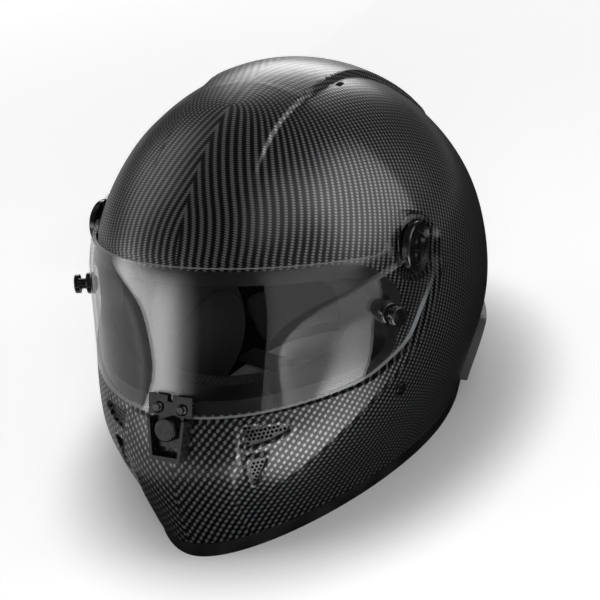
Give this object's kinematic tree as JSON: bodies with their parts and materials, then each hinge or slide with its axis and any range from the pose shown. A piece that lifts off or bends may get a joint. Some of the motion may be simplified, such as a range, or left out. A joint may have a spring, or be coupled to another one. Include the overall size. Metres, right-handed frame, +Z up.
{
  "type": "auto racing helmet",
  "caption": "Closed-face car racing helmet with a clear pivoting visor, push-button chin latch, tear-off posts, vents, padding, rear spoiler and ring strap.",
  "frame": {"origin": "middle of the whole helmet's footprint, on the plane that its base edge rests on", "axes": "+Z up, -Y where the wearer looks, +X the wearer's left"},
  "size_m": [0.2578, 0.3346, 0.2584],
  "materials": {
    "carbon_laminate": "satin clear coat over woven black fibre",
    "crush_foam": "matt moulded foam",
    "liner_cloth": "knitted cloth",
    "pad_cloth": "brushed cloth",
    "black_rubber": "smooth black",
    "clear_sheet": "clear, lightly smoked, glossy",
    "black_fittings": "gloss black",
    "black_steel": "blackened, polished",
    "bright_metal": "plain metal",
    "vent_mesh": "perforated sheet",
    "grey_plastic": "fine matt grain",
    "webbing": "woven webbing"
  },
  "bodies": {
    "helmet": {"outer_shell": "carbon_laminate", "impact_liner_skull": "crush_foam", "impact_liner_chin": "crush_foam", "comfort_liner": "liner_cloth", "cheek_pad_left": "pad_cloth", "cheek_pad_right": "pad_cloth", "neck_roll": "pad_cloth", "base_edge_trim": "black_rubber", "eye_port_gasket": "black_rubber", "pivot_hub_left": "black_fittings", "pivot_hub_right": "black_fittings", "pivot_cover_left": "black_fittings", "pivot_cover_right": "black_fittings", "pivot_screws": "black_steel", "pivot_nuts": "bright_metal", "latch_keeper": "black_fittings", "keeper_rivets": "black_steel", "chin_vent_mesh_upper": "vent_mesh", "chin_vent_mesh_lower": "vent_mesh", "tether_inserts": "bright_metal", "tether_plugs": "black_fittings", "rear_spoiler": "grey_plastic", "strap_short": "webbing", "strap_long": "webbing", "strap_anchors": "black_fittings", "strap_rivets": "black_steel", "strap_snap_socket": "black_steel", "strap_snap_stud": "black_steel"},
    "visor_unit": {"visor": "clear_sheet", "latch_bracket": "black_fittings", "latch_screws": "black_steel", "latch_spring": "bright_metal", "tear_off_posts": "black_fittings", "tear_off_washers": "black_rubber", "tear_off_nuts": "black_steel"},
    "latch_push": {"latch_button": "black_fittings"},
    "strap_ring_pair": {"strap_rings": "bright_metal"}
  },
  "joints": [
    {"name": "visor_hinge", "type": "hinge", "parent": "helmet", "child": "visor_unit", "pos_m": [0, -0.02609, 0.162], "axis": [-1, 0, 0], "range_deg": [0, 50]},
    {"name": "latch_press", "type": "slide", "parent": "visor_unit", "child": "latch_push", "axis": [0, 0.9277, -0.3732], "range_m": [0, 0.002], "stiffness_N_per_m": 800},
    {"name": "strap_ring_swing", "type": "hinge", "parent": "helmet", "child": "strap_ring_pair", "pos_m": [0.042, 0.06391, 0.0046], "axis": [0, 1, 0], "range_deg": [0, 100]}
  ]
}
